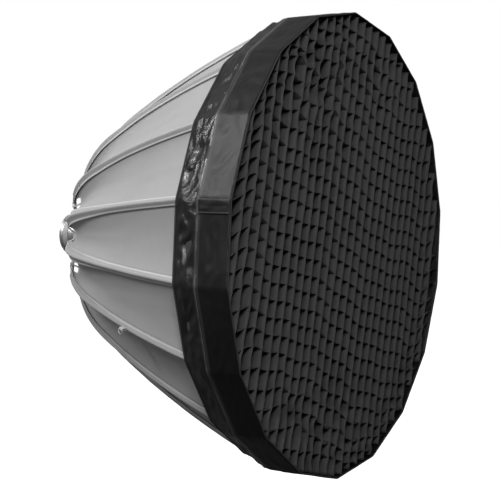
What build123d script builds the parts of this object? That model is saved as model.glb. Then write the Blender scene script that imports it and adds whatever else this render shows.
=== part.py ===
from build123d import *
import os
from math import cos, radians, sin, sqrt, tan

# A collapsible parabolic soft reflector with a fabric egg-crate grid on its mouth.
# +X points out of the mouth and +Z up. The origin is the centre of the rear rim of the
# barrel, where a lamp head slides in. Lengths are millimetres, angles are degrees.

# ---- Overall sizes -------------------------------------------------------------------
SIDES = 18                    # ribs, and flat sides of the mouth
CLOCKING = 2.0                # turn of the first rib away from straight up
MOUTH_RADIUS = 600.0          # to a corner of the grid's front edge
OVERALL_DEPTH = 877.0         # rear rim of the barrel to the grid's front edge
STEP_ANGLE = 360.0 / SIDES

# ---- Barrel and its liner, which hold the lamp head ------------------------------------
HEAD_RADIUS = 50.0
HEAD_CLEARANCE = 0.1
LINER_WALL = 2.4
LINER_LENGTH = 66.0
BARREL_WALL = 2.1
RIM_HEIGHT = 1.4
RIM_LENGTH = 8.0
BARREL_FLANGE_X = 62.0
FLANGE_THICKNESS = 4.0
FLANGE_RADIUS = 65.0
SEAT_STEP = 3.5               # the hub ring's seat stands this much above the liner's outside
GROOVE_DEPTH = 0.8
GROOVE_WIDTH = 2.0
GROOVE_PITCH = 5.0
GROOVE_COUNT = 5
SLIT_WIDTH = 3.0
SLIT_LENGTH = 46.0
SLIT_COUNT = 4

# ---- Hub ring, with one hinge slot for each rib ---------------------------------------
HUB_LENGTH = 22.0
HUB_RADIUS = 80.0
HUB_CHAMFER = 4.0
HUB_BACK_WALL = 4.0
HINGE_SETBACK = 11.0          # hinge pin, forward of the hub ring's back
HINGE_RADIUS = 70.0           # hinge pin, out from the axis
SLOT_WIDTH = 8.0
SLOT_FLOOR_RADIUS = 60.0
PIN_RADIUS = 1.5
PIN_LENGTH = 16.0
RETAINER_LENGTH = 6.0
RETAINER_RADIUS = 62.0
RETAINER_NOTCH = 6.0
RETAINER_NOTCHES = 6
SCREW_RADIUS = 1.5
SCREW_HEAD_RADIUS = 2.8
SCREW_HEAD_HEIGHT = 2.4
SCREW_CIRCLE = 60.5
SCREW_DEPTH = 14.0

# ---- Clamp band, its fasteners and cam lever ------------------------------------------
BAND_X = 12.0
BAND_WIDTH = 16.0
BAND_THICKNESS = 1.4
BAND_CLEARANCE = 0.2
BAND_GAP = 14.0
EAR_THICKNESS = 3.0
EAR_HEIGHT = 17.0
BOLT_RADIUS = 2.5
BOLT_HOLE_CLEARANCE = 0.2
BOLT_HEIGHT = 10.0            # bolt axis, out from the band's outside
NUT_RADIUS = 4.6
NUT_HEIGHT = 4.0
CAM_PIN_RADIUS = 2.0
CAM_RADIUS = 6.0
CAM_GAP = 0.4
EYE_WIDTH = 8.0
CHEEK_THICKNESS = 4.0
CHEEK_CLEARANCE = 0.3
LEVER_SWEEP = 48.0
LEVER_THICKNESS = 5.0
RUNNING_CLEARANCE = 0.05

# ---- Ribs ------------------------------------------------------------------------------
RIB_RADIUS = 4.5
RIB_WALL = 0.9
RIB_START_ANGLE = 74.0        # lean of the rib's foot from the X axis
RIB_LEAD = 32.0               # straight stretch from the hinge
REAR_BEND, REAR_TURN = 281.0, 11.45
MIDDLE_BEND, MIDDLE_TURN = 482.0, 30.96
FRONT_BEND, FRONT_TURN = 2757.0, 11.55
FOOT_CLEARANCE = 0.2
KNUCKLE_RADIUS = 5.5
FOOT_ARM = 16.0
SOCKET_RADIUS = 6.2
SOCKET_LENGTH = 15.0
SOCKET_FLOOR = 2.0
CAP_WALL = 1.0
CAP_LENGTH = 8.0
CAP_NOSE = 4.0
PUSH_CLEARANCE = 0.05
PAD_WIDTH = 6.0
PAD_HEIGHT = 6.0
PAD_RADIUS = 74.0
PAD_GAP = 0.4
SPRING_THICKNESS = 0.5
SPRING_WIDTH = 5.0
HOOK_RADIUS = 172.0           # hem hook on the rib, out from the axis
HOOK_LENGTH = 8.0
HOOK_WALL = 1.6
HOOK_NUB = 5.0
HOOK_CLEARANCE = 0.15

# ---- Reflector fabric ------------------------------------------------------------------
HEM_X = 197.0                 # rear edge of the fabric
HEM_RADIUS = 249.0
FABRIC_FRONT_X = 797.0
FABRIC_FRONT_RADIUS = 579.0
SHELL_THICKNESS = 1.2
LAYER_GAP = 0.4
LINING_THICKNESS = 0.8
FABRIC_STATIONS = 9
TIE_WIDTH = 6.0
TIE_THICKNESS = 1.2
TIE_END_GAP = 5.5

# ---- Ring on a webbing tab, on one lower rib -------------------------------------------
RING_RIB = 13
RING_X = 462.0
TAB_WIDTH = 16.0
TAB_LENGTH = 14.0
TAB_THICKNESS = 4.5
RING_WIRE = 1.5
RING_SIZE = 11.0

# ---- Grid: skirt bands, bindings and egg crate -----------------------------------------
BAND_FABRIC = 1.5
SEAM_X = 787.0                # where the two bands are sewn together
SEAM_RADIUS = 598.0
SKIRT_REAR_X = 709.0
SKIRT_REAR_RADIUS = 566.0
BINDING_WIDTH = 4.0
BINDING_THICKNESS = 3.0
HOOK_STRIP_WIDTH = 50.0
HOOK_STRIP_THICKNESS = 1.2
HOOK_STRIP_INSET = 14.0
FABRIC_GAP = 0.3
CELL = 41.6
CRATE_HALF_COUNT = 13
CRATE_TURN = 12.0             # the rows run down towards +Y
CRATE_DEPTH = 48.0
CRATE_INSET = 2.0
STRIP_THICKNESS = 0.8
STRIP_SLOT_CLEARANCE = 0.2
STRIP_END_GAP = 1.0
TAPE_WIDTH = 34.0
TAPE_THICKNESS = 0.8
TAPE_SIDE = 14                # flat side that carries the joining seam
TAPE_SHIFT = 84.0             # from that side's middle towards its upper corner

# ---- Values worked out from the sizes above --------------------------------------------
BORE_RADIUS = HEAD_RADIUS + HEAD_CLEARANCE
LINER_RADIUS = BORE_RADIUS + LINER_WALL
BODY_RADIUS = LINER_RADIUS + BARREL_WALL
RIM_RADIUS = BODY_RADIUS + RIM_HEIGHT
SEAT_RADIUS = LINER_RADIUS + SEAT_STEP
HUB_X = BARREL_FLANGE_X + FLANGE_THICKNESS
HUB_FRONT_X = HUB_X + HUB_LENGTH
BARREL_LENGTH = HUB_FRONT_X + RETAINER_LENGTH
HINGE_X = HUB_X + HINGE_SETBACK
HOOK_STRIP_X = SKIRT_REAR_X + HOOK_STRIP_INSET
CRATE_FRONT_X = OVERALL_DEPTH - CRATE_INSET
CRATE_REAR_X = CRATE_FRONT_X - CRATE_DEPTH
BAND_FRONT_X = OVERALL_DEPTH - BINDING_WIDTH
HEAD_PLANE = Plane.YZ


def spoke(angle):
    """The plane through the axis at this angle from +Z towards +Y: local x is X, local y is radial."""
    return Plane(origin=(0, 0, 0), x_dir=(1, 0, 0), z_dir=(0, -cos(radians(angle)), sin(radians(angle))))


def radial(x, radius, angle):
    """A point at this depth, radius and angle from +Z towards +Y."""
    return Vector(x, radius * sin(radians(angle)), radius * cos(radians(angle)))


def ring_of(shape, count=SIDES, first=0.0):
    """Copies of a shape, evenly turned round the axis, as one group of separate solids."""
    return Compound([shape.rotate(Axis.X, -first - i * 360.0 / count) for i in range(count)])


def write(shape, name):
    """Labels a finished piece and writes its STEP file."""
    shape.label = name
    export_step(shape, f"parts/{name}.step")


def between(a, b, share):
    """The value this share of the way from a to b."""
    return a + (b - a) * share


def polygon_band(stations, thickness):
    """A thin band with SIDES flat sides through (x, corner radius) stations, as a BuildPart."""
    with BuildPart() as band:
        for x, radius in stations:
            with BuildSketch(Plane.YZ.offset(x)):
                RegularPolygon(radius, SIDES, rotation=90 - CLOCKING)
        loft(ruled=True)
        for x, radius in stations:
            with BuildSketch(Plane.YZ.offset(x)):
                RegularPolygon(radius - thickness, SIDES, rotation=90 - CLOCKING)
        loft(ruled=True, mode=Mode.SUBTRACT)
    return band


def skirt_radius(x):
    """Corner radius of the skirt's outside at this depth."""
    if x >= SEAM_X:
        return between(SEAM_RADIUS, MOUTH_RADIUS, (x - SEAM_X) / (OVERALL_DEPTH - SEAM_X))
    return between(SKIRT_REAR_RADIUS, SEAM_RADIUS, (x - SKIRT_REAR_X) / (SEAM_X - SKIRT_REAR_X))


def fabric_radius(x):
    """Corner radius of the reflector fabric at this depth, a parabola through its two edges."""
    share = (x - HEM_X) / (FABRIC_FRONT_X - HEM_X)
    return sqrt(between(HEM_RADIUS**2, FABRIC_FRONT_RADIUS**2, share))


def reach(offset, radius, upright):
    """How far a strip at this offset from the axis runs each way inside the mouth's polygon."""
    apothem = radius * cos(radians(STEP_ANGLE / 2))
    low, high = -radius, radius
    for side in range(SIDES):
        angle = radians(CLOCKING + (side + 0.5) * STEP_ANGLE - CRATE_TURN)
        across, along = (sin(angle), cos(angle)) if upright else (cos(angle), sin(angle))
        if abs(along) > 1e-9:
            limit = (apothem - offset * across) / along
            if along > 0:
                high = min(high, limit)
            else:
                low = max(low, limit)
    return low, high


os.makedirs("parts", exist_ok=True)

# ---- Barrel ------------------------------------------------------------------------------
with BuildPart() as hub_barrel:
    with BuildSketch(Plane.XY):
        with BuildLine():
            Polyline(
                (0, LINER_RADIUS),
                (0, RIM_RADIUS),
                (RIM_LENGTH, RIM_RADIUS),
                (RIM_LENGTH, BODY_RADIUS),
                (BARREL_FLANGE_X, BODY_RADIUS),
                (BARREL_FLANGE_X, FLANGE_RADIUS),
                (HUB_X, FLANGE_RADIUS),
                (HUB_X, SEAT_RADIUS),
                (BARREL_LENGTH, SEAT_RADIUS),
                (BARREL_LENGTH, LINER_RADIUS),
                close=True,
            )
        make_face()
    revolve(axis=Axis.X)
    groove_start = BAND_X + BAND_WIDTH + GROOVE_PITCH
    with BuildSketch(Plane.XY):
        for groove in range(GROOVE_COUNT):
            with Locations((groove_start + groove * GROOVE_PITCH, BODY_RADIUS)):
                Rectangle(GROOVE_WIDTH, 2 * GROOVE_DEPTH)
    revolve(axis=Axis.X, mode=Mode.SUBTRACT)
    for slit in range(SLIT_COUNT):
        with BuildSketch(spoke(45 + slit * 360 / SLIT_COUNT)):
            with Locations((SLIT_LENGTH / 2, BODY_RADIUS)):
                Rectangle(SLIT_LENGTH, 4 * (BARREL_WALL + RIM_HEIGHT))
        extrude(amount=SLIT_WIDTH / 2, both=True, mode=Mode.SUBTRACT)
    with BuildSketch(Plane.YZ.offset(BARREL_FLANGE_X)):
        with PolarLocations(SCREW_CIRCLE, SIDES // 2, start_angle=90 - CLOCKING + STEP_ANGLE / 2):
            Circle(SCREW_RADIUS)
    extrude(amount=FLANGE_THICKNESS, mode=Mode.SUBTRACT)
write(hub_barrel.part, "hub_barrel")

with BuildPart() as barrel_liner:
    with BuildSketch(Plane.YZ):
        Circle(LINER_RADIUS)
        Circle(BORE_RADIUS, mode=Mode.SUBTRACT)
    extrude(amount=LINER_LENGTH)
write(barrel_liner.part, "barrel_liner")

# ---- Hub ring and what it holds ------------------------------------------------------------
with BuildPart() as hub_ring:
    with BuildSketch(Plane.YZ.offset(HUB_X)):
        Circle(HUB_RADIUS)
        Circle(SEAT_RADIUS, mode=Mode.SUBTRACT)
    extrude(amount=HUB_LENGTH)
    front_rim = hub_ring.edges().filter_by(GeomType.CIRCLE).sort_by(SortBy.RADIUS)[-2:].sort_by(Axis.X)[-1]
    chamfer(front_rim, HUB_CHAMFER)
    for rib in range(SIDES):
        with BuildSketch(spoke(CLOCKING + rib * STEP_ANGLE)):
            slot_height = HUB_RADIUS - SLOT_FLOOR_RADIUS
            slot_length = HUB_LENGTH - HUB_BACK_WALL
            with Locations((HUB_FRONT_X - slot_length / 2 + 1, SLOT_FLOOR_RADIUS + slot_height / 2 + 1)):
                Rectangle(slot_length + 2, slot_height + 2)
        extrude(amount=SLOT_WIDTH / 2, both=True, mode=Mode.SUBTRACT)
        with BuildSketch(spoke(CLOCKING + rib * STEP_ANGLE)):
            with Locations((HINGE_X, HINGE_RADIUS)):
                Circle(PIN_RADIUS)
        extrude(amount=PIN_LENGTH / 2, both=True, mode=Mode.SUBTRACT)
    with BuildSketch(Plane.YZ.offset(HUB_X)):
        with PolarLocations(SCREW_CIRCLE, SIDES // 2, start_angle=90 - CLOCKING + STEP_ANGLE / 2):
            Circle(SCREW_RADIUS)
    extrude(amount=SCREW_DEPTH, mode=Mode.SUBTRACT)
write(hub_ring.part, "hub_ring")

with BuildPart() as hub_retaining_ring:
    with BuildSketch(Plane.YZ.offset(HUB_FRONT_X)):
        Circle(RETAINER_RADIUS)
        Circle(SEAT_RADIUS, mode=Mode.SUBTRACT)
        with PolarLocations(RETAINER_RADIUS, RETAINER_NOTCHES):
            Rectangle(RETAINER_NOTCH, RETAINER_NOTCH, mode=Mode.SUBTRACT)
    extrude(amount=RETAINER_LENGTH)
write(hub_retaining_ring.part, "hub_retaining_ring")

with BuildPart() as hinge_pin:
    with BuildSketch(spoke(CLOCKING)):
        with Locations((HINGE_X, HINGE_RADIUS)):
            Circle(PIN_RADIUS)
    extrude(amount=PIN_LENGTH / 2, both=True)
write(ring_of(hinge_pin.part), "hinge_pins")

arm_back = KNUCKLE_RADIUS / sin(radians(RIB_START_ANGLE))
arm_x = HINGE_X + (PAD_RADIUS - HINGE_RADIUS) / tan(radians(RIB_START_ANGLE))
pad_thickness = arm_x - arm_back - PAD_GAP - (HUB_X + HUB_BACK_WALL)
with BuildPart() as stop_pad:
    with BuildSketch(spoke(CLOCKING)):
        with Locations((HUB_X + HUB_BACK_WALL + pad_thickness / 2, PAD_RADIUS + PAD_HEIGHT / 2)):
            Rectangle(pad_thickness, PAD_HEIGHT)
    extrude(amount=PAD_WIDTH / 2, both=True)
write(ring_of(stop_pad.part), "rib_stop_pads")

with BuildPart() as lock_spring:
    spring_front = HUB_FRONT_X - 1.0
    spring_foot = SLOT_FLOOR_RADIUS
    with BuildSketch(spoke(CLOCKING)):
        with BuildLine():
            spring_line = Polyline(
                (HUB_X + HUB_BACK_WALL + 2.0, spring_foot + SPRING_THICKNESS / 2),
                (spring_front - 4.0, spring_foot + SPRING_THICKNESS / 2),
                (spring_front - 2.0, spring_foot + 2.0),
                (spring_front, spring_foot + SPRING_THICKNESS),
            )
            offset(spring_line, amount=SPRING_THICKNESS / 2, side=Side.BOTH)
        make_face()
    extrude(amount=SPRING_WIDTH / 2, both=True)
write(ring_of(lock_spring.part), "rib_lock_springs")

with BuildPart() as hub_screw:
    screw_centre = radial(BARREL_FLANGE_X, SCREW_CIRCLE, CLOCKING - STEP_ANGLE / 2)
    with BuildSketch(Plane(origin=screw_centre, z_dir=(1, 0, 0))):
        Circle(SCREW_RADIUS)
    extrude(amount=FLANGE_THICKNESS + SCREW_DEPTH)
    with BuildSketch(Plane(origin=screw_centre, z_dir=(-1, 0, 0))):
        Circle(SCREW_HEAD_RADIUS)
    extrude(amount=SCREW_HEAD_HEIGHT)
write(ring_of(hub_screw.part, SIDES // 2), "hub_screws")

# ---- Clamp band round the barrel ------------------------------------------------------------
band_inner = BODY_RADIUS + BAND_CLEARANCE
band_outer = band_inner + BAND_THICKNESS
bolt_y = band_outer + BOLT_HEIGHT
bolt_x = BAND_X + BAND_WIDTH / 2
ear_face = BAND_GAP / 2 + EAR_THICKNESS
with BuildPart() as clamp_band:
    with BuildSketch(Plane.YZ.offset(BAND_X)):
        Circle(band_outer)
        with Locations((band_inner + EAR_HEIGHT / 2, 0)):
            Rectangle(EAR_HEIGHT, BAND_GAP + 2 * EAR_THICKNESS)
        Circle(band_inner, mode=Mode.SUBTRACT)
        with Locations((band_inner + EAR_HEIGHT / 2, 0)):
            Rectangle(EAR_HEIGHT + 8, BAND_GAP, mode=Mode.SUBTRACT)
    extrude(amount=BAND_WIDTH)
    with BuildSketch(Plane.XY):
        with Locations((bolt_x, bolt_y)):
            Circle(BOLT_RADIUS + BOLT_HOLE_CLEARANCE)
    extrude(amount=ear_face + 1, both=True, mode=Mode.SUBTRACT)
write(clamp_band.part, "clamp_band")

cam_z = ear_face + CAM_GAP + CAM_RADIUS
with BuildPart() as clamp_bolt:
    with BuildSketch(Plane.XY.offset(-ear_face - NUT_HEIGHT - 2)):
        with Locations((bolt_x, bolt_y)):
            Circle(BOLT_RADIUS)
    extrude(amount=ear_face + NUT_HEIGHT + 2 + cam_z - EYE_WIDTH / 2 + 1)
    with BuildSketch(Plane.YZ.offset(bolt_x)):
        with Locations((bolt_y, cam_z)):
            Circle(EYE_WIDTH / 2)
            Circle(CAM_PIN_RADIUS, mode=Mode.SUBTRACT)
    extrude(amount=EYE_WIDTH / 2, both=True)
    with BuildSketch(Plane.YZ.offset(bolt_x)):
        with Locations((bolt_y, cam_z)):
            Circle(CAM_PIN_RADIUS)
    extrude(amount=EYE_WIDTH, both=True, mode=Mode.SUBTRACT)
with BuildPart() as clamp_nut:
    with BuildSketch(Plane.XY.offset(-ear_face - NUT_HEIGHT)):
        with Locations((bolt_x, bolt_y)):
            RegularPolygon(NUT_RADIUS, 6)
            Circle(BOLT_RADIUS, mode=Mode.SUBTRACT)
    extrude(amount=NUT_HEIGHT)
lever_half_width = EYE_WIDTH / 2 + CHEEK_CLEARANCE + CHEEK_THICKNESS
with BuildPart() as cam_pin:
    with BuildSketch(Plane.YZ.offset(bolt_x)):
        with Locations((bolt_y, cam_z)):
            Circle(CAM_PIN_RADIUS)
    extrude(amount=lever_half_width, both=True)
write(Compound([clamp_bolt.part, clamp_nut.part, cam_pin.part]), "clamp_fasteners")

pivot_distance = sqrt(bolt_y**2 + cam_z**2)
with BuildPart() as clamp_lever:
    with BuildSketch(Plane.YZ.offset(bolt_x - lever_half_width)):
        with Locations((bolt_y, cam_z)):
            Circle(CAM_RADIUS)
        with BuildLine():
            inner_arc = CenterArc((0, 0), pivot_distance - LEVER_THICKNESS / 2, 17, LEVER_SWEEP)
            outer_arc = CenterArc((0, 0), pivot_distance + LEVER_THICKNESS / 2, 17, LEVER_SWEEP)
            Line(inner_arc @ 0, outer_arc @ 0)
            Line(inner_arc @ 1, outer_arc @ 1)
        make_face()
    extrude(amount=2 * lever_half_width)
    with BuildSketch(Plane.YZ.offset(bolt_x)):
        with Locations((bolt_y, cam_z)):
            Circle(CAM_RADIUS + 3.0)
    extrude(amount=EYE_WIDTH / 2 + CHEEK_CLEARANCE, both=True, mode=Mode.SUBTRACT)
    with BuildSketch(Plane.YZ.offset(bolt_x)):
        with Locations((bolt_y, cam_z)):
            Circle(CAM_PIN_RADIUS + RUNNING_CLEARANCE)
    extrude(amount=lever_half_width + 1, both=True, mode=Mode.SUBTRACT)
write(clamp_lever.part, "clamp_lever")

# ---- One rib, its foot, tip cap and hem hook, then copies round the hub ------------------------
rib_plane = spoke(CLOCKING)
lean = radians(RIB_START_ANGLE)
hinge = (HINGE_X, HINGE_RADIUS)


def along_lead(distance):
    """A point on the rib's straight stretch, in the rib's own plane."""
    return (HINGE_X + distance * cos(lean), HINGE_RADIUS + distance * sin(lean))


with BuildPart() as rib_tube:
    with BuildLine(rib_plane) as rib_line:
        lead = Line(along_lead(FOOT_ARM + SOCKET_FLOOR), along_lead(RIB_LEAD))
        rear = JernArc(lead @ 1, lead % 1, REAR_BEND, -REAR_TURN)
        middle = JernArc(rear @ 1, rear % 1, MIDDLE_BEND, -MIDDLE_TURN)
        front = JernArc(middle @ 1, middle % 1, FRONT_BEND, -FRONT_TURN)
    with BuildSketch(Plane(origin=lead @ 0, z_dir=lead % 0)):
        Circle(RIB_RADIUS)
        Circle(RIB_RADIUS - RIB_WALL, mode=Mode.SUBTRACT)
    sweep()

rib_tip = Plane(origin=front @ 1, z_dir=front % 1)
with BuildPart() as tip_cap:
    with BuildSketch(rib_tip.offset(-CAP_LENGTH)):
        Circle(RIB_RADIUS + CAP_WALL)
        Circle(RIB_RADIUS + PUSH_CLEARANCE, mode=Mode.SUBTRACT)
    extrude(amount=CAP_LENGTH)
    with BuildSketch(rib_tip):
        Circle(RIB_RADIUS + CAP_WALL)
    extrude(amount=CAP_NOSE)
    fillet(tip_cap.faces().sort_by(Axis.X)[-1].edges(), CAP_NOSE / 2)

# The hook sits where the exposed stretch of the rib passes HOOK_RADIUS.
share = 0.0
while radial(0, 1, CLOCKING).dot(rear @ share) < HOOK_RADIUS and share < 1.0:
    share += 0.01
hook_line = rear if share < 1.0 else middle
if share >= 1.0:
    share = 0.0
    while radial(0, 1, CLOCKING).dot(middle @ share) < HOOK_RADIUS:
        share += 0.005
hook_plane = Plane(origin=hook_line @ share, x_dir=rib_plane.z_dir, z_dir=hook_line % share)
with BuildPart() as hem_hook:
    with BuildSketch(hook_plane.offset(-HOOK_LENGTH / 2)):
        Circle(RIB_RADIUS + HOOK_WALL)
        with Locations((RIB_RADIUS + HOOK_WALL, 0), (-RIB_RADIUS - HOOK_WALL, 0)):
            Rectangle(2 * HOOK_NUB, HOOK_NUB)
        Circle(RIB_RADIUS + HOOK_CLEARANCE, mode=Mode.SUBTRACT)
    extrude(amount=HOOK_LENGTH)

with BuildPart() as rib_foot:
    arm_width = SLOT_WIDTH - 2 * FOOT_CLEARANCE
    with BuildSketch(rib_plane):
        with Locations(hinge):
            Circle(KNUCKLE_RADIUS)
        with Locations(along_lead(FOOT_ARM / 2)):
            Rectangle(FOOT_ARM, 2 * KNUCKLE_RADIUS, rotation=RIB_START_ANGLE)
    extrude(amount=arm_width / 2, both=True)
    with BuildSketch(Plane(origin=lead @ 0 - (lead % 0) * (SOCKET_FLOOR + 1), z_dir=lead % 0)):
        Circle(SOCKET_RADIUS)
    extrude(amount=SOCKET_LENGTH)
    with BuildSketch(Plane(origin=lead @ 0, z_dir=lead % 0)):
        Circle(RIB_RADIUS)
    extrude(amount=SOCKET_LENGTH, mode=Mode.SUBTRACT)
    with BuildSketch(rib_plane):
        with Locations(hinge):
            Circle(PIN_RADIUS + RUNNING_CLEARANCE)
    extrude(amount=SLOT_WIDTH, both=True, mode=Mode.SUBTRACT)

for number in range(1, SIDES + 1):
    turn = -(number - 1) * STEP_ANGLE
    pieces = [rib_tube.part, tip_cap.part, hem_hook.part]
    write(Compound([piece.rotate(Axis.X, turn) for piece in pieces]), f"rib_{number:02d}")
    write(rib_foot.part.rotate(Axis.X, turn), f"rib_foot_{number:02d}")

# ---- Reflector fabric: outer shell and silver lining -----------------------------------------
shell_stations = []
for step in range(FABRIC_STATIONS):
    x = between(HEM_X, FABRIC_FRONT_X, (step / (FABRIC_STATIONS - 1)) ** 1.3)
    shell_stations.append((x, fabric_radius(x)))
canopy_shell = polygon_band(shell_stations, SHELL_THICKNESS)
write(canopy_shell.part, "canopy_shell")
lining_step = SHELL_THICKNESS + LAYER_GAP
canopy_lining = polygon_band([(x, radius - lining_step) for x, radius in shell_stations], LINING_THICKNESS)
write(canopy_lining.part, "canopy_lining")

# Each rear hem is held by a pair of elastic ties, from its middle to the hooks on the ribs beside it.
hem_radius = HEM_RADIUS * cos(radians(STEP_ANGLE / 2)) - SHELL_THICKNESS
hem_middle = radial(HEM_X - 2, hem_radius, CLOCKING + STEP_ANGLE / 2)
tie_solids = []
nub_centre = RIB_RADIUS + HOOK_WALL + HOOK_NUB - TIE_THICKNESS
for hook_angle, side in ((CLOCKING, -1), (CLOCKING + STEP_ANGLE, 1)):
    hook_centre = radial((hook_line @ share).X, HOOK_RADIUS, hook_angle)
    hook_point = hook_centre + spoke(hook_angle).z_dir * nub_centre * side
    direction = (hook_point - hem_middle).normalized()
    with BuildPart() as hem_tie:
        with BuildSketch(Plane(origin=hem_middle + direction * TIE_WIDTH, x_dir=(1, 0, 0), z_dir=direction)):
            Rectangle(TIE_THICKNESS, TIE_WIDTH)
        extrude(amount=(hook_point - hem_middle).length - TIE_WIDTH - TIE_END_GAP)
    tie_solids.append(hem_tie.part)
write(ring_of(Compound(tie_solids)), "hem_ties")

# ---- Ring on a webbing tab --------------------------------------------------------------------
ring_angle = CLOCKING + (RING_RIB - 1) * STEP_ANGLE
ring_share = 0.0
while (middle @ ring_share).X < RING_X and ring_share < 1.0:
    ring_share += 0.005
if ring_share >= 1.0:
    ring_share = 0.0
    while (front @ ring_share).X < RING_X:
        ring_share += 0.001
    ring_line = front
else:
    ring_line = middle
rib_point = (ring_line @ ring_share).rotate(Axis.X, -(RING_RIB - 1) * STEP_ANGLE)
rib_along = (ring_line % ring_share).rotate(Axis.X, -(RING_RIB - 1) * STEP_ANGLE)
rib_out = rib_along.cross(spoke(ring_angle).z_dir).normalized() * -1
tab_root = rib_point + rib_out * (RIB_RADIUS + HOOK_CLEARANCE)
bar_point = tab_root + rib_out * (TAB_LENGTH - TAB_THICKNESS / 2)
with BuildPart() as ring_tab:
    with BuildSketch(Plane(origin=tab_root, x_dir=rib_along, z_dir=rib_out)):
        Rectangle(TAB_WIDTH, TAB_THICKNESS)
    extrude(amount=TAB_LENGTH)
    with BuildSketch(Plane(origin=bar_point, z_dir=rib_along)):
        Circle(RING_WIRE + RUNNING_CLEARANCE)
    extrude(amount=TAB_WIDTH, both=True, mode=Mode.SUBTRACT)
write(ring_tab.part, "ring_tab")

down = Vector(0, 0, -1)
hang = (down - rib_along * down.dot(rib_along)).normalized()
ring_plane = Plane(origin=bar_point, x_dir=rib_along, z_dir=rib_along.cross(hang))
with BuildPart() as d_ring:
    with BuildLine(ring_plane):
        bow = CenterArc((0, 0), RING_SIZE, 0, 180)
        Line(bow @ 1, bow @ 0)
    with BuildSketch(Plane(origin=bow @ 0, z_dir=bow % 0)):
        Circle(RING_WIRE)
    sweep(transition=Transition.ROUND)
write(d_ring.part, "d_ring")

# ---- Grid skirt -------------------------------------------------------------------------------
grid_front_band = polygon_band(
    [(SEAM_X, SEAM_RADIUS), (BAND_FRONT_X, skirt_radius(BAND_FRONT_X))], BAND_FABRIC
)
write(grid_front_band.part, "grid_front_band")
grid_rear_band = polygon_band([(SKIRT_REAR_X, SKIRT_REAR_RADIUS), (SEAM_X, SEAM_RADIUS)], BAND_FABRIC)
write(grid_rear_band.part, "grid_rear_band")
front_binding = polygon_band([(BAND_FRONT_X, MOUTH_RADIUS), (OVERALL_DEPTH, MOUTH_RADIUS)], BINDING_THICKNESS)
write(front_binding.part, "front_binding")
rear_binding = polygon_band(
    [(SKIRT_REAR_X - BINDING_WIDTH, SKIRT_REAR_RADIUS + 1), (SKIRT_REAR_X, SKIRT_REAR_RADIUS + 1)],
    BINDING_THICKNESS,
)
write(rear_binding.part, "rear_binding")
hook_strip_inset = BAND_FABRIC + FABRIC_GAP
hook_strip = polygon_band(
    [
        (HOOK_STRIP_X, skirt_radius(HOOK_STRIP_X) - hook_strip_inset),
        (HOOK_STRIP_X + HOOK_STRIP_WIDTH, skirt_radius(HOOK_STRIP_X + HOOK_STRIP_WIDTH) - hook_strip_inset),
    ],
    HOOK_STRIP_THICKNESS,
)
write(hook_strip.part, "hook_strip")

tape_angle = CLOCKING + (TAPE_SIDE - 0.5) * STEP_ANGLE
with BuildPart() as joining_tape:
    flat = cos(radians(STEP_ANGLE / 2))
    with BuildSketch(spoke(tape_angle).offset(-TAPE_SHIFT)):
        with BuildLine():
            Polyline(
                (SEAM_X + 2, SEAM_RADIUS * flat + FABRIC_GAP),
                (BAND_FRONT_X - 2, skirt_radius(BAND_FRONT_X) * flat + FABRIC_GAP),
                (BAND_FRONT_X - 2, skirt_radius(BAND_FRONT_X) * flat + FABRIC_GAP + TAPE_THICKNESS),
                (SEAM_X + 2, SEAM_RADIUS * flat + FABRIC_GAP + TAPE_THICKNESS),
                close=True,
            )
        make_face()
    extrude(amount=TAPE_WIDTH / 2, both=True)
write(joining_tape.part, "joining_tape")

# ---- Egg crate: half-slotted strips both ways --------------------------------------------------
crate_radius = skirt_radius(CRATE_REAR_X) - BINDING_THICKNESS - STRIP_END_GAP
slot_opening = STRIP_THICKNESS + 2 * STRIP_SLOT_CLEARANCE
offsets = [CELL * i for i in range(-CRATE_HALF_COUNT, CRATE_HALF_COUNT + 1)]


def crate_strip(offset, upright):
    """One half-slotted strip of the crate: upright strips are slotted from the front."""
    low, high = reach(offset, crate_radius, upright)
    if upright:
        plane = Plane(origin=(0, offset, 0), x_dir=(1, 0, 0), z_dir=(0, -1, 0))
    else:
        plane = Plane(origin=(0, 0, offset), x_dir=(1, 0, 0), z_dir=(0, 0, 1))
    half = CRATE_DEPTH / 2 + STRIP_SLOT_CLEARANCE
    slot_x = CRATE_FRONT_X - half / 2 + 0.5 if upright else CRATE_REAR_X + half / 2 - 0.5
    with BuildPart() as strip:
        with BuildSketch(plane):
            with Locations(((CRATE_REAR_X + CRATE_FRONT_X) / 2, (low + high) / 2)):
                Rectangle(CRATE_DEPTH, high - low)
            crossings = []
            for other in offsets:
                other_low, other_high = reach(other, crate_radius, not upright)
                if low < other < high and other_low < offset < other_high:
                    crossings.append((slot_x, other))
            with Locations(*crossings):
                Rectangle(half + 1, slot_opening, mode=Mode.SUBTRACT)
        extrude(amount=STRIP_THICKNESS / 2, both=True)
    return strip.part.rotate(Axis.X, -CRATE_TURN)


write(Compound([crate_strip(offset, True) for offset in offsets]), "crate_vertical_strips")
write(Compound([crate_strip(offset, False) for offset in offsets]), "crate_horizontal_strips")
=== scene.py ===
"""Deep folding reflector with a cloth egg-crate grid: its cloth, finishes, light and camera.

Lengths are metres in the row frame: +X out of the mouth, +Z up, the lamp head behind X = 0.
"""

import logging
from collections.abc import Callable
from dataclasses import dataclass, field
from enum import Enum
from math import atan2, cos, exp, floor, pi, radians, sin, sqrt

import bmesh
import bpy
from mathutils import Matrix, Vector, noise


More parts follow.
